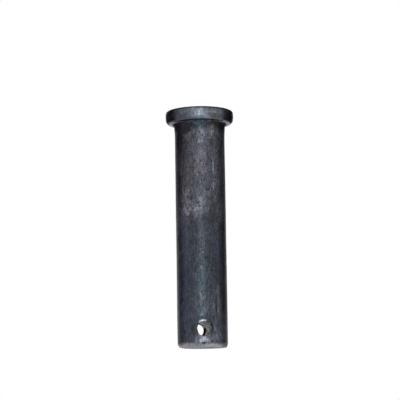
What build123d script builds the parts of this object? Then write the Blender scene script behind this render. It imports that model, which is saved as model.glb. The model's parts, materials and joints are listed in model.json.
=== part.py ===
from build123d import *
import os

# Clevis pin: a plain round shank with a flat round head and a cross hole for a cotter.
# The pin stands on its plain end. The origin is the centre of that end face, +Z runs
# along the shank to the head, and the cross hole runs along Y. Sizes are in millimetres.

# Driving dimensions
SHANK_DIAMETER = 25.0
SHANK_LENGTH = 113.5  # plain end to the underside of the head
HEAD_DIAMETER = 34.5
HEAD_THICKNESS = 6.5
HEAD_TOP_RADIUS = 1.3  # rounding of the head's upper edge
HEAD_UNDER_RADIUS = 1.8  # rounding of the head's lower edge, where the ledge has room for it
NECK_RADIUS = 1.8  # fillet where the shank meets the head
END_CHAMFER_DEPTH = 0.6  # how far the end chamfer cuts in from the shank's surface
END_CHAMFER_HEIGHT = 1.2  # how far the end chamfer runs up the shank
HOLE_DIAMETER = 8.0
HOLE_HEIGHT = 9.3  # plain end to the axis of the cross hole
HOLE_OFFSET = -1.1  # the hole is drilled this far off the shank's centre line, along X
HOLE_EDGE_BREAK = 0.4  # chamfer round both mouths of the hole
SEAT_SHARE = 0.35  # least share of the ledge under the head that stays flat

shank_radius = SHANK_DIAMETER / 2
head_radius = HEAD_DIAMETER / 2
overall_length = SHANK_LENGTH + HEAD_THICKNESS
ledge_width = head_radius - shank_radius - NECK_RADIUS
head_under_radius = min(HEAD_UNDER_RADIUS, (1 - SEAT_SHARE) * ledge_width)


def at_height(edges, height):
    """The circular edges that lie flat at the given height."""
    return edges.filter_by(GeomType.CIRCLE).filter_by_position(Axis.Z, height, height)


with BuildPart() as clevis_pin:
    # Shank and head: one forged and turned body
    with BuildSketch(Plane.XZ) as half_section:
        with BuildLine() as outline:
            Polyline(
                (0, 0),
                (shank_radius - END_CHAMFER_DEPTH, 0),
                (shank_radius, END_CHAMFER_HEIGHT),
                (shank_radius, SHANK_LENGTH),
                (head_radius, SHANK_LENGTH),
                (head_radius, overall_length),
                (0, overall_length),
                close=True,
            )
        make_face()
    revolve(axis=Axis.Z)

    # Roundings of the head and the neck
    under_head = at_height(clevis_pin.edges(), SHANK_LENGTH).sort_by(SortBy.RADIUS)
    neck_edge = under_head.first
    head_under_edge = under_head.last
    head_top_edge = at_height(clevis_pin.edges(), overall_length)
    fillet(neck_edge, radius=NECK_RADIUS)
    fillet(head_under_edge, radius=head_under_radius)
    fillet(head_top_edge, radius=HEAD_TOP_RADIUS)

    # Cross hole for the cotter, right through the shank near its plain end
    with Locations(Plane(origin=(HOLE_OFFSET, 0, HOLE_HEIGHT), z_dir=(0, -1, 0))):
        Hole(radius=HOLE_DIAMETER / 2)
    bore = clevis_pin.faces(Select.LAST).filter_by(GeomType.CYLINDER).sort_by(SortBy.RADIUS).first
    hole_mouths = bore.edges().filter_by(GeomType.LINE, reverse=True)
    chamfer(hole_mouths, length=HOLE_EDGE_BREAK)

clevis_pin.part.label = "clevis_pin"

os.makedirs("parts", exist_ok=True)
export_step(clevis_pin.part, "parts/clevis_pin.step")
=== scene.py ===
import itertools
import json
import math
from collections import namedtuple
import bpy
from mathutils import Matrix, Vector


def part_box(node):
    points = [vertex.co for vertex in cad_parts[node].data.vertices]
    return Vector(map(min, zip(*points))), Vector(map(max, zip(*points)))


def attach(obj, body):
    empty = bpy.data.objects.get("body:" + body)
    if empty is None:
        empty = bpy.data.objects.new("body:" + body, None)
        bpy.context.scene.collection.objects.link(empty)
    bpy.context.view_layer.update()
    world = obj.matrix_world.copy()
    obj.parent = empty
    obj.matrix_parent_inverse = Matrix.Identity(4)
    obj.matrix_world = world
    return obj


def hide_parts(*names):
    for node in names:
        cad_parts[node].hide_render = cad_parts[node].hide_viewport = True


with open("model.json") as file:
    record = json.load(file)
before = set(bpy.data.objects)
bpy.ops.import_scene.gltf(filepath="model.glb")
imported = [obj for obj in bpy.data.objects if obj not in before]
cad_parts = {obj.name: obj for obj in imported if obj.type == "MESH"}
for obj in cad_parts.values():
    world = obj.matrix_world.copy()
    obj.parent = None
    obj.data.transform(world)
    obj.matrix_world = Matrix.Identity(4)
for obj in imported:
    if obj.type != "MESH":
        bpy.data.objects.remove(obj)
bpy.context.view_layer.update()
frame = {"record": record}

from types import SimpleNamespace

import bpy
import numpy as np
from mathutils import Matrix, Vector

MM = 0.001

# ---------------------------------------------------------------- sizes, in millimetres
MOUNTS = {mount["name"]: mount for mount in frame["record"]["mounts"]}
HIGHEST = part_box("clevis_pin")[1]
SHANK_RADIUS = MOUNTS["shank"]["dims"]["r_mm"]
HEAD_RADIUS = HIGHEST.x / MM
TOP_HEIGHT = HIGHEST.z / MM
LEDGE_HEIGHT = MOUNTS["head_seat"]["pos_m"][2] / MM
HOLE_RADIUS = MOUNTS["cotter_hole"]["dims"]["r_mm"]
HOLE_ACROSS = MOUNTS["cotter_hole"]["pos_m"][0] / MM
HOLE_HEIGHT = MOUNTS["cotter_hole"]["pos_m"][2] / MM
HEAD_MIDDLE = (LEDGE_HEIGHT + TOP_HEIGHT) / 2

# The turned outline's chamfer and roundings, as in the CAD
CHAMFER_DEPTH = 0.6
CHAMFER_HEIGHT = 1.2
NECK_RADIUS = 1.8
HEAD_UNDER_RADIUS = 1.8
HEAD_TOP_RADIUS = 1.3

# What differs from the CAD, in the visual mesh alone
BURR_RADIUS = 0.3  # softening of the two corners of the end chamfer
SCALE_THICKNESS = 0.13  # the shank's scale stands this far out from its turned size
FLARE = 0.24  # how far the shank swells just under the head
FLARE_DEPTH = 6.5  # how far below the ledge the swelling starts
FLARE_RISE = 4.7  # the height over which it grows to its full size
KNOCK = 0.33  # how far the left lower corner is knocked in
KNOCK_ANGLE = -102  # where on the pin, in degrees from -Y towards +X
KNOCK_HALF_WIDTH = 12
KNOCK_HEIGHT = 2.4
BELLY_HALF_HEIGHT = 2.4  # the head is widest at its middle, and narrower this far above and below
BELLY_BELOW = 0.28
BELLY_ABOVE = 0.08

# Directions round the hole's axis start at +X and grow towards +Z
RUBBED_FROM = math.radians(95)  # the place on the near mouth that the cotter rubbed
SHINY_FROM = math.radians(103)  # the middle of the shine on that place
ROLLED_FROM = math.radians(168)  # the side of the near mouth that is rolled inwards
WORN_FROM = math.radians(25)  # the side of the near mouth that is worn wider
FAR_TOP_FROM = math.radians(115)  # the top of the far mouth
UNDER_LIP_FROM = math.radians(78)  # the painted shadow behind the rubbed place
MOUTH_DARK_FROM = math.radians(18)  # the darker ring on the near mouth
FAR_DARK_FROM = math.radians(-12)  # the dark side of the bore at the far mouth
LIP = 0.18  # rounding of the hole's two mouths
RUBBED_BURR = 0.95  # how far metal stands into the bore at the rubbed place
ROLLED_BURR = 0.65  # and at the rolled side
NEAR_WEAR = 0.45  # how much wider the near mouth is at its worn side
FAR_BURR = 0.5  # how far metal stands into the bore all round the far mouth
FAR_TOP_BURR = 0.2  # how much further it does at that mouth's top
BURR_REACH = 0.06  # share of the bore's length over which a burr fades out
FAR_BURR_START = 0.93  # share of the bore's length at which the far burr starts

# ---------------------------------------------------------------- mesh density
COLUMNS = 256  # vertices round the pin
COLUMN_ANGLE = 2 * math.pi / COLUMNS
CELL = SHANK_RADIUS * COLUMN_ANGLE  # width of one column on the shank
WINDOW = 18  # cells from the middle of a hole's window to its edge
FLAT_SPACING = 0.8  # millimetres between the rows on the two flat faces
SHANK_SPACING = 0.45  # and on the shank above the hole's window
FINE_SPACING = 0.36  # and on the head's other faces, the chamfer and the shank below the window
ARC_POINTS = 7
WINDOW_RINGS = 7
LIP_STEPS = 4
BORE_RINGS = 38


# ---------------------------------------------------------------- fading
def smooth_step(values):
    """0 below 0 and 1 above 1, with a smooth rise between them."""
    values = np.clip(values, 0, 1)
    return values * values * (3 - 2 * values)


def sector(direction, middle, start, span):
    """1 about the middle direction and 0 away from it.

    It rises while the cosine of the angle between them grows from start to start + span."""
    return smooth_step((np.cos(direction - middle) - start) / span)


# ---------------------------------------------------------------- turned shape
def rounded_corner(before, corner, after, radius):
    """Points of the arc that rounds a corner of the half-section, tangent points included."""
    before, corner, after = (np.array(p, float) for p in (before, corner, after))
    back = (before - corner) / np.linalg.norm(before - corner)
    ahead = (after - corner) / np.linalg.norm(after - corner)
    half = math.acos(float(back @ ahead)) / 2
    middle = (back + ahead) / np.linalg.norm(back + ahead)
    centre = corner + middle * radius / math.sin(half)
    first = corner + back * radius / math.tan(half) - centre
    last = corner + ahead * radius / math.tan(half) - centre
    start = math.atan2(first[1], first[0])
    turn = (math.atan2(last[1], last[0]) - start + math.pi) % (2 * math.pi) - math.pi
    angles = start + turn * np.linspace(0, 1, ARC_POINTS)
    return centre + radius * np.stack([np.cos(angles), np.sin(angles)], 1)


def straight(start, end, spacing):
    """Points strictly between two points of the half-section."""
    start, end = np.array(start, float), np.array(end, float)
    count = max(1, math.ceil(np.linalg.norm(end - start) / spacing))
    steps = np.arange(1, count)[:, None] / count
    return start + (end - start) * steps


def half_section():
    """The turned outline as (radius, height) rows, and the row where the hole's window starts."""
    end_radius = SHANK_RADIUS - CHAMFER_DEPTH
    corners = [
        (0, 0),
        (end_radius, 0),
        (SHANK_RADIUS, CHAMFER_HEIGHT),
        (SHANK_RADIUS, LEDGE_HEIGHT),
        (HEAD_RADIUS, LEDGE_HEIGHT),
        (HEAD_RADIUS, TOP_HEIGHT),
        (0, TOP_HEIGHT),
    ]
    radii = [BURR_RADIUS, BURR_RADIUS, NECK_RADIUS, HEAD_UNDER_RADIUS, HEAD_TOP_RADIUS]
    arcs = [rounded_corner(*corners[i:i + 3], radius) for i, radius in enumerate(radii)]
    end_corner, chamfer_corner, neck, under_edge, top_edge = arcs
    window_half = WINDOW * CELL
    window_low = (SHANK_RADIUS, HOLE_HEIGHT - window_half)
    window_high = (SHANK_RADIUS, HOLE_HEIGHT + window_half)
    window = np.linspace(window_low, window_high, 2 * WINDOW + 1)
    below = [
        straight(corners[0], end_corner[0], FLAT_SPACING),
        end_corner,
        straight(end_corner[-1], chamfer_corner[0], FINE_SPACING),
        chamfer_corner,
        straight(chamfer_corner[-1], window_low, FINE_SPACING),
    ]
    above = [
        straight(window_high, neck[0], SHANK_SPACING),
        neck,
        straight(neck[-1], under_edge[0], FINE_SPACING),
        under_edge,
        straight(under_edge[-1], top_edge[0], FINE_SPACING),
        top_edge,
        straight(top_edge[-1], corners[-1], FLAT_SPACING),
    ]
    return np.concatenate([*below, window, *above]), sum(len(part) for part in below)


def around(angle, radius, height):
    """A point on the pin: angle 0 faces -Y, and angles grow towards +X."""
    return np.stack([radius * np.sin(angle), -radius * np.cos(angle), height], -1)


def window_steps():
    """The window's edge as (column, row) steps from its middle, counter-clockwise from +X."""
    w = WINDOW
    right_up = [(w, k) for k in range(0, w)]
    top = [(k, w) for k in range(w, -w, -1)]
    left = [(-w, k) for k in range(w, -w, -1)]
    bottom = [(k, -w) for k in range(-w, w)]
    right_low = [(w, k) for k in range(-w, 0)]
    return right_up + top + left + bottom + right_low


def hole_rings(edge, count):
    """Rings from the near window's edge in to its lip, through the bore and out to the far one.

    edge is the window's edge as (across the face, height) on the unrolled near side."""
    turn = 2 * math.pi * np.arange(count) / count
    cos, sin = np.cos(turn), np.sin(turn)

    def towards(direction):
        """1 within 20 degrees of this direction from the hole's middle, and 0 from 72 degrees on."""
        return sector(turn, direction, 0.3125, 0.625)

    near_burr = np.maximum(RUBBED_BURR * towards(RUBBED_FROM), ROLLED_BURR * towards(ROLLED_FROM))
    near_burr -= NEAR_WEAR * towards(WORN_FROM)
    far_burr = FAR_BURR + FAR_TOP_BURR * towards(FAR_TOP_FROM)

    def ring_at(radius, inset, side):
        """A ring across the hole, inset from the pin's surface on the near (-1) or far (1) side."""
        across = HOLE_ACROSS + radius * cos
        outward = np.sqrt(SHANK_RADIUS ** 2 - across ** 2) - inset
        return np.stack([across, side * outward, HOLE_HEIGHT + radius * sin], 1)

    def mouth(side, inner):
        """Rings from the window's edge to the end of the rounded lip."""
        lip_across = HOLE_ACROSS + (inner + LIP) * cos
        lip_height = HOLE_HEIGHT + (inner + LIP) * sin
        lip_edge = np.stack([SHANK_RADIUS * np.arcsin(lip_across / SHANK_RADIUS), lip_height], 1)
        rings = []
        for step in range(WINDOW_RINGS - 1, -1, -1):
            unrolled = lip_edge + (edge - lip_edge) * step / WINDOW_RINGS
            ring = around(unrolled[:, 0] / SHANK_RADIUS, SHANK_RADIUS, unrolled[:, 1])
            rings.append(ring * [1, -side, 1])
        for bend in np.linspace(0, math.pi / 2, LIP_STEPS + 1)[1:]:
            rings.append(ring_at(inner + LIP * (1 - math.sin(bend)), LIP * (1 - math.cos(bend)), side))
        return rings

    near = mouth(-1, HOLE_RADIUS - near_burr)
    far = mouth(1, HOLE_RADIUS - far_burr)
    start, end = ring_at(HOLE_RADIUS, 0, -1), ring_at(HOLE_RADIUS, LIP, 1)
    start[:, 1] = near[-1][:, 1]
    bore = []
    for share in np.linspace(0, 1, BORE_RINGS)[1:-1]:
        burr = near_burr * smooth_step(1 - share / BURR_REACH)
        burr += far_burr * smooth_step((share - FAR_BURR_START) / BURR_REACH)
        ring = start + (end - start) * share
        ring[:, 0] -= burr * cos
        ring[:, 2] -= burr * sin
        bore.append(ring)
    return near, bore, far[::-1]


def pierced_cells(window_row, middle_columns):
    """The (row, column) cells of the turned grid that the windows round the hole take out."""
    cells = set()
    for middle in middle_columns:
        for step in range(-WINDOW, WINDOW):
            for row in range(window_row, window_row + 2 * WINDOW):
                cells.add((row, (middle + step) % COLUMNS))
    return cells


def grid_faces(row_count, pierced):
    """Faces of the turned grid and its two poles, without the pierced cells."""
    faces = []
    for row in range(row_count - 1):
        for column in range(COLUMNS):
            if (row, column) not in pierced:
                a, b = row * COLUMNS + column, row * COLUMNS + (column + 1) % COLUMNS
                faces.append((a, b, b + COLUMNS, a + COLUMNS))
    top_row = (row_count - 1) * COLUMNS
    low_pole, high_pole = row_count * COLUMNS, row_count * COLUMNS + 1
    for column in range(COLUMNS):
        beside = (column + 1) % COLUMNS
        faces.append((beside, column, low_pole))
        faces.append((top_row + column, top_row + beside, high_pole))
    return faces


def strip_faces(rings):
    """Faces between each ring of vertices and the next."""
    faces = []
    for ring, following in zip(rings, rings[1:]):
        for p in range(len(ring)):
            q = (p + 1) % len(ring)
            faces.append((ring[p], ring[q], following[q], following[p]))
    return faces


def turned_mesh():
    """Vertices and faces with the hole's burrs but no other wear, and which vertices are bored."""
    rows, window_row = half_section()
    angles = COLUMN_ANGLE * np.arange(COLUMNS)
    grid = np.concatenate([around(angles, r, np.full(COLUMNS, z)) for r, z in rows])
    poles = np.array([[0, 0, 0], [0, 0, TOP_HEIGHT]], float)
    near_column = round(math.asin(HOLE_ACROSS / SHANK_RADIUS) / COLUMN_ANGLE)
    far_column = COLUMNS // 2 - near_column
    faces = grid_faces(len(rows), pierced_cells(window_row, [near_column, far_column]))

    steps = window_steps()
    middle_row = window_row + WINDOW
    near_edge = [(middle_row + k) * COLUMNS + (near_column + i) % COLUMNS for i, k in steps]
    far_edge = [(middle_row + k) * COLUMNS + (far_column - i) % COLUMNS for i, k in steps]
    unrolled = np.array([((near_column + i) * CELL, HOLE_HEIGHT + k * CELL) for i, k in steps])
    near, bore, far = hole_rings(unrolled, len(steps))

    first = len(grid) + len(poles)
    rings = [near_edge]
    for index in range(len(near) + len(bore) + len(far)):
        rings.append([first + index * len(steps) + p for p in range(len(steps))])
    rings.append(far_edge)
    faces += strip_faces(rings)

    vertices = np.concatenate([grid, poles, *near, *bore, *far])
    bored = np.zeros(len(vertices), bool)
    start = first + len(near) * len(steps)
    bored[start:start + len(bore) * len(steps)] = True
    return vertices, faces, bored


# ---------------------------------------------------------------- surface
class Surface:
    """Where each vertex lies: its angle round the pin's axis, its distance from it and its height."""

    def __init__(self, vertices, bored):
        self.points = vertices
        self.angle = np.arctan2(vertices[:, 0], -vertices[:, 1])
        self.radius = np.hypot(vertices[:, 0], vertices[:, 1])
        self.height = vertices[:, 2]
        self.bored = bored
        self.on_head = self.height > LEDGE_HEIGHT - NECK_RADIUS

    def across(self, degrees):
        """Millimetres round the pin from this angle, positive towards larger angles."""
        turn = self.angle - math.radians(degrees)
        return np.arctan2(np.sin(turn), np.cos(turn)) * self.radius


LATTICE = 256  # the noise repeats after this many features


def noise(points, size, seed):
    """Smooth random values from -1 to 1 at the points, with features about size mm across."""
    rng = np.random.default_rng(seed)
    shuffled = rng.permutation(LATTICE)
    values = rng.uniform(-1, 1, LATTICE)
    cells = np.floor(points / size).astype(int)
    share = smooth_step(points / size - cells)
    total = np.zeros(len(points))
    for corner in itertools.product((0, 1), repeat=3):
        x, y, z = ((cells + corner) % LATTICE).T
        weight = np.prod(np.where(corner, share, 1 - share), axis=1)
        picked = shuffled[(shuffled[(shuffled[x] + y) % LATTICE] + z) % LATTICE]
        total += weight * values[picked]
    return total


def waves(points, layers):
    """Several noises added up, each given as (height, feature size, seed)."""
    return sum(height * noise(points, size, seed=seed) for height, size, seed in layers)


# Angles are in degrees from -Y towards +X, and the rest is in millimetres. The strength is
# the wear's depth where it is in the shape, and otherwise a share from 0 to 1.
Mark = namedtuple("Mark", "angle height half_width half_height strength")
MARK_REACH = 1.4  # a mark ends at this many times its half size
MARK_FADE = 1.1  # and fades out over this many


def spread(surface, marks, seed, unevenness=0.35):
    """How strongly the marks cover each vertex, with soft and uneven edges."""
    uneven = 1 + unevenness * noise(surface.points, 1.3, seed=seed)
    uneven += unevenness * noise(surface.points, 3.5, seed=seed + 1)
    covered = np.zeros(len(surface.points))
    for mark in marks:
        across = surface.across(mark.angle) / mark.half_width
        along = (surface.height - mark.height) / mark.half_height
        reach = np.hypot(across, along) * uneven
        covered = np.maximum(covered, mark.strength * smooth_step((MARK_REACH - reach) / MARK_FADE))
    return np.where(surface.bored, 0, covered)


# ---------------------------------------------------------------- wear in the shape
WAVES = [(0.030, 14, 1), (0.016, (2.2, 2.2, 4.5), 2), (0.008, (0.8, 0.8, 1.6), 3)]
HIGHEST_WAVE = sum(height for height, size, seed in WAVES)
LIMITED_SHARE = 0.35  # share of the waves that is left where they only take metal away
PIT_SEED = 41
PIT_BANDS = [(2, 62, 70), (62, 110, 150), (114.5, 119, 30)]  # from, to and how many
PIT_DEPTHS = (0.02, 0.07)
NICKS = [
    Mark(-15.3, 71.7, 0.9, 0.7, 0.12),
    Mark(-17.5, 72.6, 0.5, 0.5, 0.10),
    Mark(-13.0, 70.8, 0.5, 0.6, 0.10),
    Mark(-7.7, 86.8, 0.6, 1.0, 0.10),
    Mark(8.7, 88.2, 0.35, 1.2, 0.08),
    Mark(25.5, 84.6, 0.5, 0.35, 0.12),
    Mark(28.4, 82.7, 0.6, 0.4, 0.12),
    Mark(6.2, 78.2, 0.9, 0.4, 0.10),
    Mark(-8.3, 107.6, 0.5, 0.4, 0.08),
    Mark(-2.5, 105.7, 0.6, 0.5, 0.10),
    Mark(16.0, 103.6, 0.4, 0.7, 0.08),
    Mark(-39.7, 69.3, 0.6, 0.6, 0.08),
    Mark(-6.6, 1.7, 0.9, 0.5, 0.12),
    Mark(13.6, 2.6, 1.0, 0.6, 0.08),
]


def pit_marks():
    """Small random pits, closer together towards the head."""
    rng = np.random.default_rng(PIT_SEED)
    pits = []
    for low, high, count in PIT_BANDS:
        for _ in range(count):
            angle = rng.uniform(-180, 180)
            height = rng.uniform(low, high)
            size = rng.uniform(0.3, 0.6)
            stretch = rng.uniform(1, 2)
            pits.append(Mark(angle, height, size, size * stretch, rng.uniform(*PIT_DEPTHS)))
    return pits


def pit_depth(surface):
    """How deep the pits are at each vertex."""
    return spread(surface, pit_marks(), seed=6, unevenness=0.2)


def knocked_corner(surface):
    """How far the lower corner is knocked in on its left."""
    knock = smooth_step(1 - abs(surface.across(KNOCK_ANGLE)) / KNOCK_HALF_WIDTH)
    knock *= smooth_step((KNOCK_HEIGHT - surface.height) / KNOCK_HEIGHT)
    return KNOCK * knock * (surface.radius > SHANK_RADIUS - 2)


def bellied_head(surface):
    """How far the head's side lies inside the line of its widest place."""
    heights = [HEAD_MIDDLE - BELLY_HALF_HEIGHT, HEAD_MIDDLE, HEAD_MIDDLE + BELLY_HALF_HEIGHT]
    inset = np.interp(surface.height, heights, [BELLY_BELOW, 0, BELLY_ABOVE])
    return inset * surface.on_head * smooth_step((surface.radius - HEAD_RADIUS + 1.6) / 1.0)


def swollen_shank(surface):
    """How far the shank stands out: its scale, and the swelling just under the head."""
    height, radius = surface.height, surface.radius
    on_shank = smooth_step((SHANK_RADIUS + 1.7 - radius) / 1.5) * (height < LEDGE_HEIGHT)
    flare = FLARE * smooth_step((height - LEDGE_HEIGHT + FLARE_DEPTH) / FLARE_RISE)
    scale = SCALE_THICKNESS * smooth_step(height - CHAMFER_HEIGHT)
    scale *= smooth_step((radius - SHANK_RADIUS + 0.4) / 0.2)
    return (flare + scale) * on_shank


def worn_inward(surface):
    """How far each vertex is pushed into the metal, and below 0 where metal stands proud."""
    uneven = waves(surface.points, WAVES)
    boxed = (surface.height < CHAMFER_HEIGHT) | surface.on_head  # the CAD box is close
    uneven = np.where(boxed, LIMITED_SHARE * (uneven + HIGHEST_WAVE), uneven)
    dents = spread(surface, NICKS, seed=4, unevenness=0.2) + pit_depth(surface)
    lost = knocked_corner(surface) + bellied_head(surface)
    return uneven + dents + lost - swollen_shank(surface)


# ---------------------------------------------------------------- colour of the finish, with painted highlights and shade
# Real stains and wear, and among them painted highlights, glints and painted shade, marked below
STAINS_AND_PAINTED_LIGHT = {
    "pale": [
        Mark(-6, 106.6, 2.4, 3.4, 0.16),
        Mark(-6, 103.6, 2.0, 1.8, 0.14),
        Mark(22, 108.5, 1.1, 3.6, 0.26),
        Mark(17, 109.5, 2.0, 2.5, 0.12),
        Mark(-24, 107.5, 2.6, 0.9, 0.10),
        Mark(-9, 92.5, 2.8, 5.5, 0.12),
        Mark(22.2, 90.0, 0.35, 3.6, 0.40),
        Mark(23.2, 80.5, 0.32, 2.6, 0.40),
        Mark(-0.4, 83.8, 1.9, 0.3, 0.12),
        Mark(6, 88.5, 0.9, 2.2, 0.16),
        Mark(-12, 69.5, 5.5, 4.6, 0.14),
        Mark(-24, 71, 3.0, 3.4, 0.14),
        Mark(-33, 76, 4.0, 3.0, 0.10),
        Mark(-7.5, 72, 0.6, 1.6, 0.30),
        Mark(-20, 68.5, 1.2, 1.4, 0.30),
        Mark(-9.7, 67.8, 0.6, 1.2, 0.30),
        Mark(-12, 75, 6.0, 4.0, 0.10),
        Mark(-42, 70, 1.8, 5.0, 0.20),
        Mark(-45, 67.4, 1.4, 0.5, 0.20),
        Mark(-9.2, 48.4, 0.8, 0.4, 0.15),
        Mark(-4.5, 46.9, 0.5, 0.9, 0.12),
        # Painted glints in the highlight down the shank's middle
        Mark(-9, 39.6, 0.7, 0.5, 0.26),
        Mark(-7.5, 39.0, 0.4, 0.7, 0.20),
        Mark(-5.0, 38.5, 0.4, 0.5, 0.26),
        Mark(-13.2, 26.7, 0.5, 1.2, 0.22),
        Mark(-10.2, 25.0, 0.5, 1.0, 0.12),
        Mark(-7.1, 23.8, 1.0, 1.0, 0.13),
        Mark(-2, 24.6, 0.9, 0.8, 0.10),
        Mark(-5, 20.5, 4.0, 5.0, 0.05),
        Mark(-9.3, 15.9, 0.7, 0.7, 0.15),
        Mark(31, 24, 1.0, 7.0, 0.11),
        Mark(32.5, 18.5, 0.7, 3.0, 0.05),
        Mark(20, 18, 2.2, 4.5, 0.05),
        # Painted highlight on the shank's lower end, under the hole
        Mark(-8, 4.0, 4.4, 3.2, 0.26),
        Mark(-4, 3.9, 2.6, 1.3, 0.58),
        Mark(-11, 3.2, 1.6, 1.5, 0.62),
        Mark(1, 3.1, 1.4, 1.1, 0.30),
        # A painted glint on the neck
        Mark(-18.3, 112.1, 0.5, 0.5, 0.40),
        Mark(25, 4.8, 2.6, 1.8, 0.20),
        Mark(-40, 1.5, 4.5, 0.7, 0.20),
        Mark(-14, 1.3, 3.0, 0.5, 0.15),
        Mark(22, 11, 1.2, 5.0, 0.08),
        Mark(27.5, 15, 0.7, 6.0, 0.07),
        # Painted highlight: the head's bright middle and the lighter side about it
        Mark(-16, 116.6, 4.0, 4.2, 0.24),
        Mark(-7.5, 116.4, 4.4, 4.4, 0.36),
        Mark(-1, 115.6, 3.6, 3.2, 0.40),
        Mark(7, 117.4, 4.5, 2.2, 0.18),
        Mark(21, 117.2, 5.5, 1.8, 0.13),
        Mark(-24, 117.4, 5.0, 1.6, 0.09),
        Mark(-23, 114.6, 0.6, 0.5, 0.16),
        Mark(31, 117.2, 2.4, 0.8, 0.10),
    ],
    "violet": [
        Mark(-6, 90.5, 3.0, 4.8, 0.6),
        Mark(-40, 68, 4.0, 7.0, 0.5),
        Mark(-62, 106, 3.6, 13, 0.9),
        Mark(-62, 80, 2.6, 14, 0.5),
        Mark(-22, 33.8, 1.0, 1.6, 0.5),
        Mark(-38, 115.2, 3.2, 1.8, 0.6),
    ],
    "plum": [
        Mark(35, 30, 3.2, 16, 0.8),
        Mark(52, 24, 4.0, 16, 0.8),
        Mark(13, 38, 1.2, 1.2, 0.5),
        Mark(-50, 3.0, 4.5, 2.6, 0.7),
    ],
    "navy": [
        Mark(-54, 30, 4.0, 26, 0.75),
        Mark(-54, 60, 3.2, 8, 0.35),
        Mark(30, 50, 4.0, 8, 0.35),
    ],
    "olive": [
        Mark(22, 108.5, 1.8, 5.0, 0.5),
        Mark(-44, 88, 4.5, 12, 0.35),
        Mark(-36, 105, 3.0, 5, 0.45),
        Mark(17, 66, 4.0, 4.6, 0.08),
        Mark(34, 18, 1.6, 3.6, 0.4),
        Mark(24, 112.6, 4.5, 2.2, 0.5),
        Mark(20, 115.6, 4.5, 2.0, 0.4),
    ],
    "teal": [
        Mark(-10, 112.2, 4.6, 2.8, 1.0),
        # The bluish tint of the head's painted highlight
        Mark(-14, 116.8, 6.0, 4.4, 0.7),
        Mark(1, 116.6, 4.0, 3.6, 0.5),
        Mark(-12, 82, 3.6, 3.0, 0.25),
        Mark(2, 42, 1.8, 3.6, 0.25),
        Mark(-8, 34, 4.0, 9.0, 0.30),
        Mark(-27, 27.6, 2.0, 2.8, 0.20),
        Mark(-10, 17, 3.6, 5.0, 0.28),
        Mark(-12, 4.2, 3.2, 2.2, 0.30),
        Mark(-66, 117, 5.5, 3.2, 0.4),
        Mark(-54, 98, 2.0, 6.5, 0.25),
    ],
    "dark": [
        Mark(-43, 115.0, 5.0, 1.5, 0.28),
        Mark(16, 114.9, 5.5, 1.0, 0.18),
        Mark(-56, 115.2, 5.0, 2.4, 0.28),
        Mark(-47, 109.4, 3.8, 3.6, 0.80),
        Mark(-34, 109.8, 3.0, 2.4, 0.44),
        Mark(-22, 107, 2.8, 4.2, 0.30),
        Mark(-50, 99, 3.0, 16, 0.46),
        Mark(-8, 76.6, 4.0, 2.4, 0.14),
        Mark(-5, 97, 9.0, 4.0, 0.13),
        Mark(40, 92, 2.5, 9, 0.20),
        Mark(14, 70.5, 4.5, 5.0, 0.26),
        # Painted shade: a broad darker band on the right of the blued shank
        Mark(28, 38, 5.5, 18, 0.16),
        # Painted shade: the head's left and right ends, darker where they turn from the light
        Mark(-76, 116.5, 8.0, 4.0, 0.62),
        Mark(64, 116.5, 7.0, 4.0, 0.58),
        Mark(14, 115.9, 3.5, 0.4, 0.30),
        Mark(24, 114.9, 3.0, 0.3, 0.25),
        Mark(-61, 104, 3.6, 12, 0.72),
        Mark(-66, 84, 2.0, 14, 0.45),
        Mark(-8.3, 107.6, 0.6, 0.5, 0.55),
        Mark(-2.5, 105.7, 0.7, 0.6, 0.55),
        Mark(16.0, 103.6, 0.5, 0.9, 0.45),
        Mark(12.2, 100.4, 0.6, 0.7, 0.35),
        Mark(-7.7, 86.8, 0.7, 1.2, 0.55),
        Mark(8.7, 88.1, 0.4, 1.6, 0.60),
        Mark(25.5, 84.6, 0.6, 0.4, 0.65),
        Mark(28.4, 82.7, 0.7, 0.5, 0.65),
        Mark(15, 82.6, 0.4, 0.8, 0.45),
        Mark(6.2, 78.2, 1.2, 0.5, 0.55),
        Mark(4, 74.6, 0.9, 0.4, 0.35),
        Mark(-15.3, 71.7, 1.0, 0.7, 0.65),
        Mark(-18.5, 72.8, 0.7, 0.5, 0.60),
        Mark(-12.5, 70.6, 0.5, 0.7, 0.50),
        Mark(-39.7, 69.3, 0.8, 0.8, 0.55),
        Mark(-40.5, 75.3, 0.4, 1.2, 0.50),
        Mark(-30.6, 74.2, 0.7, 0.7, 0.45),
        Mark(21.2, 74.2, 0.7, 0.7, 0.45),
        Mark(-28, 64.5, 0.8, 0.8, 0.40),
        Mark(16, 66, 3.6, 5.0, 0.35),
        Mark(-15, 63.6, 3.5, 0.5, 0.35),
        Mark(24, 62.0, 2.4, 0.3, 0.35),
        Mark(-8.5, 47.6, 0.7, 0.4, 0.45),
        Mark(-1, 47.3, 0.5, 1.6, 0.35),
        Mark(13, 38, 0.8, 1.0, 0.40),
        Mark(3.4, 32, 0.5, 2.0, 0.45),
        Mark(12, 30, 1.4, 2.4, 0.30),
        Mark(24.6, 19, 0.45, 6.5, 0.90),
        Mark(28.0, 15.4, 0.4, 2.2, 0.70),
        Mark(29.5, 21, 0.35, 5.0, 0.30),
        Mark(14, 11.5, 0.6, 1.6, 0.40),
        Mark(-44, 29, 4.5, 18, 0.12),
        Mark(-53.9, 7.6, 0.9, 0.9, 0.50),
        Mark(-31.5, 9.4, 1.4, 2.4, 0.45),
        Mark(-6.6, 1.9, 1.5, 0.7, 0.90),
        Mark(13.6, 2.6, 1.0, 0.7, 0.55),
        Mark(54, 0.9, 4.2, 1.2, 0.50),
    ],
}

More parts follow.
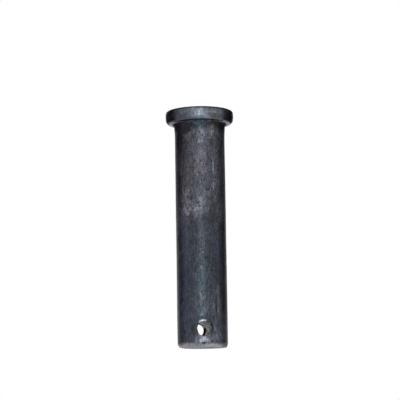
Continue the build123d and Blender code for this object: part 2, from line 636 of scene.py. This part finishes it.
NECK_GLINTS = [
    Mark(-16, 112.3, 2.4, 1.1, 0.60),
    Mark(-8, 111.8, 3.4, 1.8, 0.40),
    Mark(-33, 113.2, 1.6, 0.6, 0.45),
    Mark(12, 113.0, 1.6, 0.5, 0.20),
    Mark(14, 110.6, 2.0, 1.0, 0.20),
]
BLUED_TO = 62.5  # the blued part ends at about this height
BLUED_EDGE = [(4.0, (4, 4, 9), 71), (1.8, (0.9, 0.9, 2.5), 72)]  # how unevenly it does
LEFT_END = (-100, 55)  # the head's left and right ends as (degrees, half width)
RIGHT_END = (83, 55)


def facing(surface, degrees, half_width):
    """1 on the side of the pin that faces this way, fading to 0 at half_width degrees from it."""
    turn = np.cos(surface.angle - math.radians(degrees))
    edge = math.cos(math.radians(half_width))
    return smooth_step((turn - edge) / (1 - edge) * 2)


def from_hole(surface):
    """Direction of each vertex from the hole's axis, and its distance from it."""
    across = surface.points[:, 0] - HOLE_ACROSS
    up = surface.height - HOLE_HEIGHT
    return np.arctan2(up, across), np.hypot(across, up)


def near_mouth(surface):
    """Which vertices are on the pin's outside or just behind it, on the hole's near side."""
    return (surface.points[:, 1] < 0) & (surface.radius > SHANK_RADIUS - 1.2)


def painted_lip_highlight(surface):
    """A painted highlight: the bright crescent above the near mouth."""
    direction, distance = from_hole(surface)
    reach = sector(direction, SHINY_FROM, 0.78, 0.16)
    ring = smooth_step((distance - HOLE_RADIUS + 0.85) / 0.2) * smooth_step((4.4 - distance) / 0.4)
    broken = 1 + 0.2 * noise(surface.points, 0.7, seed=75)
    return 0.82 * near_mouth(surface) * reach * ring * broken


def under_lip(surface):
    """A painted shadow: the dark line below that crescent, on the top of the bore behind the burr."""
    direction, distance = from_hole(surface)
    behind = smooth_step((-surface.points[:, 1] - 3.5) / 2.5) * (distance < HOLE_RADIUS + 0.05)
    behind *= smooth_step((SHANK_RADIUS - 0.7 - surface.radius) / 0.3)
    return 0.75 * behind * sector(direction, UNDER_LIP_FROM, 0.72, 0.2)


def mouth_darkening(surface):
    """A darker ring along the right-hand side of the near mouth."""
    direction, distance = from_hole(surface)
    ring = smooth_step((distance - HOLE_RADIUS - 0.3) / 0.3) * smooth_step((5.1 - distance) / 0.5)
    return 0.45 * near_mouth(surface) * ring * sector(direction, MOUTH_DARK_FROM, 0.3, 0.4)


def far_shade(surface):
    """The dark side of the bore towards its far mouth."""
    direction, distance = from_hole(surface)
    deep = smooth_step((surface.points[:, 1] - 5.5) / 2.0) * (distance < HOLE_RADIUS + 0.1)
    return 0.95 * deep * sector(direction, FAR_DARK_FROM, 0.8, 0.12)


def neck_shade(surface):
    """The dark upper end of the shank, broken by a few glints."""
    height = surface.height
    shade = smooth_step((height - 108 - noise(surface.points, 2.5, seed=73)) / 4)
    shade *= (height < LEDGE_HEIGHT + 0.2) * smooth_step((14.2 - surface.radius) / 0.8)
    return 0.8 * shade * (1 - spread(surface, NECK_GLINTS, seed=90))


def ledge_shine(surface):
    """The pale flat ring under the head, at its left and right ends."""
    height, radius = surface.height, surface.radius
    ends = np.maximum(0.80 * facing(surface, *LEFT_END), 0.68 * facing(surface, *RIGHT_END))
    shine = (height > LEDGE_HEIGHT - 0.2) * smooth_step((LEDGE_HEIGHT + 0.6 - height) / 0.4)
    return shine * ends * smooth_step((radius - 13.2) / 0.8) * smooth_step((15.9 - radius) / 0.4)


def edge_shade(surface):
    """The dark lower edge of the head, above that ring."""
    above_ledge = surface.height - LEDGE_HEIGHT
    left = 0.9 * facing(surface, *LEFT_END) * smooth_step((above_ledge - 0.12) / 0.25)
    right = 0.85 * facing(surface, *RIGHT_END) * smooth_step((above_ledge - 0.02) / 0.15)
    shade = np.maximum(left, right) * smooth_step((2.0 - above_ledge) / 0.7)
    return shade * (surface.radius > HEAD_RADIUS - 2)


def blued_part(surface):
    """1 on the blued part of the shank, with an uneven border that is higher in front."""
    border = BLUED_TO + waves(surface.points, BLUED_EDGE) + 3.0 * facing(surface, -11, 25)
    return smooth_step((border - surface.height) / 6 + 0.5)


def chamfer_part(surface):
    """The bare steel of the end chamfer, just above it and at the end face's rim, with a painted highlight
    in its colour.
    """
    points = surface.points
    bare = smooth_step((2.6 + 0.4 * noise(points, 1.6, seed=74) - surface.height) / 2.2)
    bare *= 0.9 + 0.35 * noise(points, (3.0, 3.0, 0.7), seed=76)
    return bare * (surface.radius > SHANK_RADIUS - 1.6)


def finish_masks(surface):
    """Everything that the material reads from the mesh, by name."""
    height = surface.height
    masks = {}
    for number, (name, marks) in enumerate(STAINS_AND_PAINTED_LIGHT.items()):
        masks[name] = spread(surface, marks, seed=20 + 10 * number)
    # Painted highlights join the pale marks, and painted shades the dark ones
    shines = [ledge_shine(surface), painted_lip_highlight(surface)]
    shades = [neck_shade(surface), edge_shade(surface)]
    shades += [far_shade(surface), mouth_darkening(surface), under_lip(surface)]
    masks["pale"] = np.maximum.reduce([masks["pale"], *shines])
    masks["dark"] = np.maximum.reduce([masks["dark"], *shades])
    masks["blued"] = blued_part(surface)
    masks["head"] = smooth_step((height - LEDGE_HEIGHT + 0.4) / 0.8)
    masks["bore"] = surface.bored.astype(float)
    masks["chamfer"] = chamfer_part(surface)
    masks["pit"] = pit_depth(surface) / PIT_DEPTHS[1]
    masks["faced"] = smooth_step(np.maximum(height - TOP_HEIGHT + 0.3, 0.2 - height) / 0.1)
    masks["radius"] = surface.radius
    return masks


# ---------------------------------------------------------------- material
BLUE_STEEL = (0.052, 0.059, 0.076, 1)
GREY_STEEL = (0.084, 0.086, 0.107, 1)
# Pale rubbed steel, and the colour of the painted highlights, glints and shine
PALE_STEEL_AND_HIGHLIGHT = (0.500, 0.525, 0.600, 1)
VIOLET = (0.088, 0.073, 0.098, 1)
OLIVE = (0.108, 0.106, 0.102, 1)
PLUM = (0.054, 0.052, 0.070, 1)
NAVY = (0.045, 0.052, 0.082, 1)
TEAL = (0.058, 0.096, 0.104, 1)
# Dirt, and the colour of the painted shade under the head, at the head's lower edge and ends, in the bore
# and by the hole
SOOT_AND_SHADE = (0.012, 0.012, 0.016, 1)
BORE_STEEL = (0.200, 0.200, 0.210, 1)
# Bare steel of the chamfer, painted paler as a highlight
CHAMFER_STEEL_AND_HIGHLIGHT = (0.370, 0.345, 0.390, 1)
COOL_CAST = (0.97, 1.00, 1.035, 1)
WARM_CAST = (1.03, 1.00, 0.975, 1)
TEAL_CAST = (0.95, 1.01, 1.08, 1)
RELIEF_DEPTH = 0.14 * MM
STAIN_TINTS = {"olive": OLIVE, "violet": VIOLET, "plum": PLUM, "navy": NAVY, "teal": TEAL}


class Graph:
    """Short ways to add a material's nodes. A value may be a number, a colour or another node's socket."""

    def __init__(self, material):
        material.use_nodes = True
        self.nodes = material.node_tree.nodes
        self.links = material.node_tree.links
        self.place = self.nodes.new("ShaderNodeTexCoord").outputs["Object"]

    def put(self, value, socket):
        if isinstance(value, bpy.types.NodeSocket):
            self.links.new(value, socket)
        else:
            socket.default_value = value

    def mask(self, name):
        node = self.nodes.new("ShaderNodeAttribute")
        node.attribute_name = name
        return node.outputs["Fac"]

    def noise(self, scale, detail=2.0, shift=0.0, tilt=0.0):
        """Noise with features 1/scale metres across, where scale is (x, y, z).

        shift moves it by so many millimetres, and tilt turns it by so many degrees about X."""
        mapping = self.nodes.new("ShaderNodeMapping")
        mapping.vector_type = "TEXTURE"
        mapping.inputs["Scale"].default_value = [1 / factor for factor in scale]
        mapping.inputs["Rotation"].default_value = (math.radians(tilt), 0, 0)
        mapping.inputs["Location"].default_value = (shift * MM, shift * MM, shift * MM)
        self.links.new(self.place, mapping.inputs["Vector"])
        node = self.nodes.new("ShaderNodeTexNoise")
        node.inputs["Scale"].default_value = 1
        node.inputs["Detail"].default_value = detail
        self.links.new(mapping.outputs[0], node.inputs["Vector"])
        return node.outputs["Fac"]

    def rings(self, width):
        """Noise in rings round the pin's axis, each about width mm wide."""
        node = self.nodes.new("ShaderNodeTexNoise")
        node.noise_dimensions = "1D"
        node.inputs["Scale"].default_value = 1 / width
        node.inputs["Detail"].default_value = 2
        self.links.new(self.mask("radius"), node.inputs["W"])
        return node.outputs["Fac"]

    def math(self, operation, first, second=0.0):
        node = self.nodes.new("ShaderNodeMath")
        node.operation = operation
        self.put(first, node.inputs[0])
        self.put(second, node.inputs[1])
        return node.outputs[0]

    def times(self, first, second):
        return self.math("MULTIPLY", first, second)

    def remap(self, value, low, high, to_low=0.0, to_high=1.0):
        node = self.nodes.new("ShaderNodeMapRange")
        self.put(value, node.inputs["Value"])
        node.inputs["From Min"].default_value = low
        node.inputs["From Max"].default_value = high
        node.inputs["To Min"].default_value = to_low
        node.inputs["To Max"].default_value = to_high
        return node.outputs[0]

    def varied(self, value, amount):
        """A factor about 1 that a noise's value moves by up to this amount either way."""
        return self.remap(value, 0.3, 0.7, 1 - amount, 1 + amount)

    # A Mix node has all its sockets at once: numbers at inputs 2 and 3 and output 0, and
    # colours at inputs 6 and 7 and output 2. They share their names, so they go by number.
    def blend(self, factor, first, second, mode="MIX"):
        node = self.nodes.new("ShaderNodeMix")
        node.data_type = "RGBA"
        node.blend_type = mode
        self.put(factor, node.inputs[0])
        self.put(first, node.inputs[6])
        self.put(second, node.inputs[7])
        return node.outputs[2]

    def blended_number(self, factor, first, second):
        node = self.nodes.new("ShaderNodeMix")
        self.put(factor, node.inputs[0])
        self.put(first, node.inputs[2])
        self.put(second, node.inputs[3])
        return node.outputs[0]

    def scaled(self, colour, brightness):
        node = self.nodes.new("ShaderNodeVectorMath")
        node.operation = "SCALE"
        self.put(colour, node.inputs[0])
        self.put(brightness, node.inputs["Scale"])
        return node.outputs[0]


def steel_inputs(graph):
    """The noises and masks that the steel's colour, shine, roughness and bumps share."""
    steel = SimpleNamespace()
    steel.head = graph.mask("head")
    steel.blued = graph.mask("blued")
    steel.bore = graph.mask("bore")
    steel.chamfer = graph.mask("chamfer")
    steel.faced = graph.mask("faced")
    steel.bare = graph.math("SUBTRACT", 1.0, steel.blued)
    steel.dark = graph.math("MAXIMUM", graph.mask("dark"), graph.times(graph.mask("pit"), 0.5))

    steel.mottled = graph.noise((430, 430, 260), detail=3, shift=3.7)
    steel.speckled = graph.noise((1500, 1500, 800), shift=8.1)
    steel.drilled = graph.noise((500, 60, 1300), shift=2.6, tilt=10)
    drawn = graph.noise((1250, 1250, 330), detail=3)
    turned = graph.noise((50, 50, 1300), detail=3, shift=5.2)
    on_shank = graph.times(drawn, graph.math("SUBTRACT", 1.0, steel.head))
    steel.grain = graph.math("ADD", on_shank, graph.times(turned, steel.head))
    flecked = graph.remap(graph.noise((1900, 1900, 1000), detail=1, shift=6.3), 0.54, 0.68)
    steel.fleck = graph.times(flecked, graph.remap(steel.bare, 0, 1, 0.9, 1.1))

    # The pale mask holds rubbed places and painted highlights alike
    rubbed = graph.mask("pale")
    broken = graph.remap(steel.mottled, 0.35, 0.65, 0.55, 1.25)
    solid = graph.math("MAXIMUM", rubbed, graph.times(steel.head, 0.7))
    steel.pale = graph.times(rubbed, graph.blended_number(solid, broken, 1.0))
    return steel


def steel_tone(graph, steel):
    """How much lighter or darker than its plain colour the steel is from place to place."""
    clouds = graph.noise((120, 120, 60), shift=1.9)
    tone = graph.times(graph.varied(steel.grain, 0.31), graph.varied(steel.mottled, 0.24))
    tone = graph.times(tone, graph.varied(steel.speckled, 0.31))
    tone = graph.times(tone, graph.remap(steel.fleck, 0, 1, 1.08, 0.45))
    tone = graph.times(tone, graph.varied(clouds, 0.18))
    calm = graph.math("MAXIMUM", graph.times(steel.chamfer, 0.7), graph.times(steel.head, 0.45))
    calm = graph.math("MAXIMUM", calm, graph.times(steel.blued, 0.15))
    return graph.blended_number(calm, tone, 1.0)


def steel_colour(graph, steel):
    """The scale's colour with its stains, rubbed places and painted highlights, bare chamfer with a
    painted highlight, bore, and dirt and painted shade.
    """
    colour = graph.blend(steel.blued, GREY_STEEL, BLUE_STEEL)
    for name, tint in STAIN_TINTS.items():
        colour = graph.blend(graph.mask(name), colour, tint)
    warmth = graph.noise((210, 210, 130), shift=4.4)
    cast = graph.blend(graph.remap(warmth, 0.35, 0.65), COOL_CAST, WARM_CAST)
    colour = graph.blend(1.0, colour, cast, "MULTIPLY")
    colour = graph.blend(steel.pale, colour, PALE_STEEL_AND_HIGHLIGHT)
    colour = graph.blend(graph.mask("teal"), colour, TEAL_CAST, "MULTIPLY")
    colour = graph.blend(steel.chamfer, colour, CHAMFER_STEEL_AND_HIGHLIGHT)
    colour = graph.scaled(colour, steel_tone(graph, steel))
    bore_colour = graph.scaled(BORE_STEEL[:3], graph.remap(steel.drilled, 0.36, 0.6, 0.5, 1.3))
    colour = graph.blend(steel.bore, colour, bore_colour)
    return graph.blend(steel.dark, colour, SOOT_AND_SHADE)


def steel_roughness(graph, steel):
    """Rougher where the bluing is gone and on the head's top, smoother on its side and where rubbed or
    painted with highlights.
    """
    rough = graph.remap(steel.mottled, 0.3, 0.7, 0.30, 0.42)
    rough = graph.math("SUBTRACT", rough, graph.times(steel.pale, 0.06))
    rough = graph.math("ADD", rough, graph.times(steel.bare, 0.08))
    rough = graph.math("SUBTRACT", rough, graph.times(steel.head, 0.14))
    return graph.math("ADD", rough, graph.times(graph.times(steel.faced, steel.head), 0.3))


def steel_clean(graph, steel):
    """The share of the surface's shine that dirt, painted shade and the drill's marks leave."""
    marked = graph.blended_number(steel.bore, 1.0, graph.remap(steel.drilled, 0.36, 0.58, 0.35, 1.1))
    return graph.times(graph.math("SUBTRACT", 1.0, steel.dark), marked)


def steel_bump(graph, steel):
    """The fine relief of the scale, the drill's marks in the bore and the faced ends."""
    faced_rings = graph.times(graph.rings(0.35), steel.faced)
    bumps = graph.math("ADD", graph.times(steel.speckled, 0.55), graph.times(steel.mottled, 0.8))
    bumps = graph.math("ADD", bumps, graph.times(steel.grain, 0.35))
    bumps = graph.math("SUBTRACT", bumps, graph.times(steel.fleck, 0.3))
    bumps = graph.math("ADD", bumps, graph.times(graph.times(steel.drilled, steel.bore), 5.0))
    bumps = graph.math("ADD", bumps, graph.times(faced_rings, 0.8))
    bump = graph.nodes.new("ShaderNodeBump")
    bump.inputs["Strength"].default_value = 0.7
    bump.inputs["Distance"].default_value = RELIEF_DEPTH
    graph.put(bumps, bump.inputs["Height"])
    return bump.outputs[0]


def steel_material():
    """Scaled steel: blued towards the plain end, greyer and rubbed towards the head, with painted
    highlights and shade.
    """
    made = bpy.data.materials.new("scaled_steel")
    graph = Graph(made)
    steel = steel_inputs(graph)
    clean = steel_clean(graph, steel)
    shader = graph.nodes["Principled BSDF"]
    shader.inputs["Metallic"].default_value = 0.8
    graph.put(graph.times(clean, 0.7), shader.inputs["Specular Tint"])
    graph.put(graph.times(clean, 0.5), shader.inputs["Specular IOR Level"])
    graph.put(steel_colour(graph, steel), shader.inputs["Base Color"])
    graph.put(steel_roughness(graph, steel), shader.inputs["Roughness"])
    graph.put(steel_bump(graph, steel), shader.inputs["Normal"])
    return made


# ---------------------------------------------------------------- piece
def vertex_normals(mesh):
    normals = np.empty(len(mesh.vertices) * 3)
    mesh.vertices.foreach_get("normal", normals)
    return normals.reshape(-1, 3)


def build_pin():
    vertices, faces, bored = turned_mesh()
    mesh = bpy.data.meshes.new("clevis_pin_finished")
    mesh.from_pydata((vertices * MM).tolist(), [], faces)
    surface = Surface(vertices, bored)
    moved = vertices - vertex_normals(mesh) * worn_inward(surface)[:, None]
    mesh.vertices.foreach_set("co", (moved * MM).ravel())
    mesh.update()
    mesh.shade_smooth()
    for name, values in finish_masks(surface).items():
        layer = mesh.attributes.new(name, "FLOAT", "POINT")
        layer.data.foreach_set("value", values.astype(np.float32))
    mesh.materials.append(steel_material())
    pin = bpy.data.objects.new("clevis_pin_finished", mesh)
    bpy.context.scene.collection.objects.link(pin)
    return pin


pin = build_pin()
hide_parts("clevis_pin")
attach(pin, "root")

# ---------------------------------------------------------------- camera
AZIMUTH = math.radians(-8.5)
ELEVATION = math.radians(-7.89)
ROLL = math.radians(0.88)
DISTANCE = 0.813  # metres from the camera to the place it aims at
AIM_ACROSS = -0.32 * MM
AIM_HEIGHT = 74.7 * MM
LENS = 144.5  # focal length in millimetres


def add_camera():
    """The camera looks slightly up at the pin, from a little left of the hole's axis."""
    right = Vector((math.cos(AZIMUTH), math.sin(AZIMUTH), 0))
    away = Vector((
        -math.sin(AZIMUTH) * math.cos(ELEVATION),
        math.cos(AZIMUTH) * math.cos(ELEVATION),
        -math.sin(ELEVATION),
    ))
    up = right.cross(away)
    rolled_right = right * math.cos(ROLL) - up * math.sin(ROLL)
    rolled_up = right * math.sin(ROLL) + up * math.cos(ROLL)
    data = bpy.data.cameras.new("camera")
    data.lens = LENS
    data.clip_start = 0.01
    camera = bpy.data.objects.new("camera", data)
    aim = right * AIM_ACROSS + Vector((0, 0, AIM_HEIGHT))
    turn = Matrix((rolled_right, rolled_up, -away)).transposed().to_4x4()
    camera.matrix_world = Matrix.Translation(aim - away * DISTANCE) @ turn
    bpy.context.scene.collection.objects.link(camera)
    bpy.context.scene.camera = camera


# ---------------------------------------------------------------- studio
STUDIO_MIDDLE = Vector((0, 0, 0.06))
SOFT_LIGHT = 0.6  # strength of the plain light from all round
FLOOR_REACH = 3.0  # from the pin to the floor's edges


def studio_place(turn, elevation, distance):
    """A place round the pin: turn is degrees from the camera's side towards the picture's right."""
    angle = AZIMUTH + math.radians(turn)
    level = math.cos(math.radians(elevation))
    up = math.sin(math.radians(elevation))
    direction = Vector((math.sin(angle) * level, -math.cos(angle) * level, up))
    return STUDIO_MIDDLE + direction * distance


def face_middle(thing, place):
    """Adds a thing to the scene at a place, with its -Z side towards the studio's middle."""
    turn = (place - STUDIO_MIDDLE).to_track_quat("Z", "Y").to_matrix().to_4x4()
    thing.matrix_world = Matrix.Translation(place) @ turn
    bpy.context.scene.collection.objects.link(thing)


def rectangle(name, width, height, material):
    """A flat mesh about its own middle."""
    mesh = bpy.data.meshes.new(name)
    x, y = width / 2, height / 2
    mesh.from_pydata([(-x, -y, 0), (x, -y, 0), (x, y, 0), (-x, y, 0)], [], [(0, 1, 2, 3)])
    mesh.materials.append(material)
    return mesh


def softbox(name, turn, elevation, distance, width, height, radiance):
    """A rectangular lamp aimed at the pin, hidden from the camera."""
    data = bpy.data.lights.new(name, "AREA")
    data.shape = "RECTANGLE"
    data.size = width
    data.size_y = height
    data.energy = radiance * math.pi * width * height
    lamp = bpy.data.objects.new(name, data)
    face_middle(lamp, studio_place(turn, elevation, distance))
    lamp.visible_camera = False


def glow_material(name, strength):
    made = bpy.data.materials.new(name)
    made.use_nodes = True
    nodes = made.node_tree.nodes
    nodes.clear()
    glow = nodes.new("ShaderNodeEmission")
    glow.inputs["Strength"].default_value = strength
    output = nodes.new("ShaderNodeOutputMaterial")
    made.node_tree.links.new(glow.outputs[0], output.inputs["Surface"])
    return made


def dark_card(name, turn, elevation, distance, width, height, strength):
    """A dark flag that only the pin's reflections see."""
    mesh = rectangle(name, width, height, glow_material(name, strength))
    card = bpy.data.objects.new(name, mesh)
    face_middle(card, studio_place(turn, elevation, distance))
    card.visible_camera = False
    card.visible_diffuse = False
    card.visible_shadow = False
    card.visible_transmission = False


def add_world():
    """White to the camera and to reflections, and otherwise a plain soft grey light."""
    world = bpy.data.worlds.new("studio")
    bpy.context.scene.world = world
    world.use_nodes = True
    nodes, links = world.node_tree.nodes, world.node_tree.links
    soft = nodes["Background"]
    soft.inputs["Color"].default_value = (1, 1, 1, 1)
    soft.inputs["Strength"].default_value = SOFT_LIGHT
    white = nodes.new("ShaderNodeBackground")
    white.inputs["Color"].default_value = (1, 1, 1, 1)
    path = nodes.new("ShaderNodeLightPath")
    seen = nodes.new("ShaderNodeMath")
    seen.operation = "MAXIMUM"
    links.new(path.outputs["Is Camera Ray"], seen.inputs[0])
    links.new(path.outputs["Is Glossy Ray"], seen.inputs[1])
    mix = nodes.new("ShaderNodeMixShader")
    links.new(seen.outputs[0], mix.inputs[0])
    links.new(soft.outputs[0], mix.inputs[1])
    links.new(white.outputs[0], mix.inputs[2])
    links.new(mix.outputs[0], nodes["World Output"].inputs["Surface"])


def add_floor():
    """A pale floor that takes the pin's shadow.

    It is white to reflections, and clear from below, where the camera is."""
    made = bpy.data.materials.new("floor")
    made.use_nodes = True
    nodes, links = made.node_tree.nodes, made.node_tree.links
    pale = nodes["Principled BSDF"]
    pale.inputs["Base Color"].default_value = (0.85, 0.85, 0.85, 1)
    pale.inputs["Roughness"].default_value = 0.9
    clear = nodes.new("ShaderNodeBsdfTransparent")
    white = nodes.new("ShaderNodeEmission")
    side = nodes.new("ShaderNodeNewGeometry")
    path = nodes.new("ShaderNodeLightPath")
    top = nodes.new("ShaderNodeMixShader")
    links.new(path.outputs["Is Glossy Ray"], top.inputs[0])
    links.new(pale.outputs[0], top.inputs[1])
    links.new(white.outputs[0], top.inputs[2])
    mix = nodes.new("ShaderNodeMixShader")
    links.new(side.outputs["Backfacing"], mix.inputs[0])
    links.new(top.outputs[0], mix.inputs[1])
    links.new(clear.outputs[0], mix.inputs[2])
    links.new(mix.outputs[0], nodes["Material Output"].inputs["Surface"])
    mesh = rectangle("floor", 2 * FLOOR_REACH, 2 * FLOOR_REACH, made)
    floor = bpy.data.objects.new("floor", mesh)
    bpy.context.scene.collection.objects.link(floor)


add_camera()
add_world()
add_floor()
softbox("key", turn=0, elevation=6, distance=1.2, width=0.3, height=0.5, radiance=3.2)
softbox("top", turn=0, elevation=75, distance=1.2, width=0.8, height=0.8, radiance=0.8)
dark_card("left_card", turn=-112, elevation=30, distance=0.16, width=0.13, height=0.36, strength=0.02)
dark_card("right_card", turn=115, elevation=30, distance=0.16, width=0.17, height=0.36, strength=0.02)
dark_card("top_card", turn=180, elevation=70, distance=0.5, width=1.0, height=1.0, strength=0.02)

bpy.context.scene.view_settings.view_transform = "Standard"
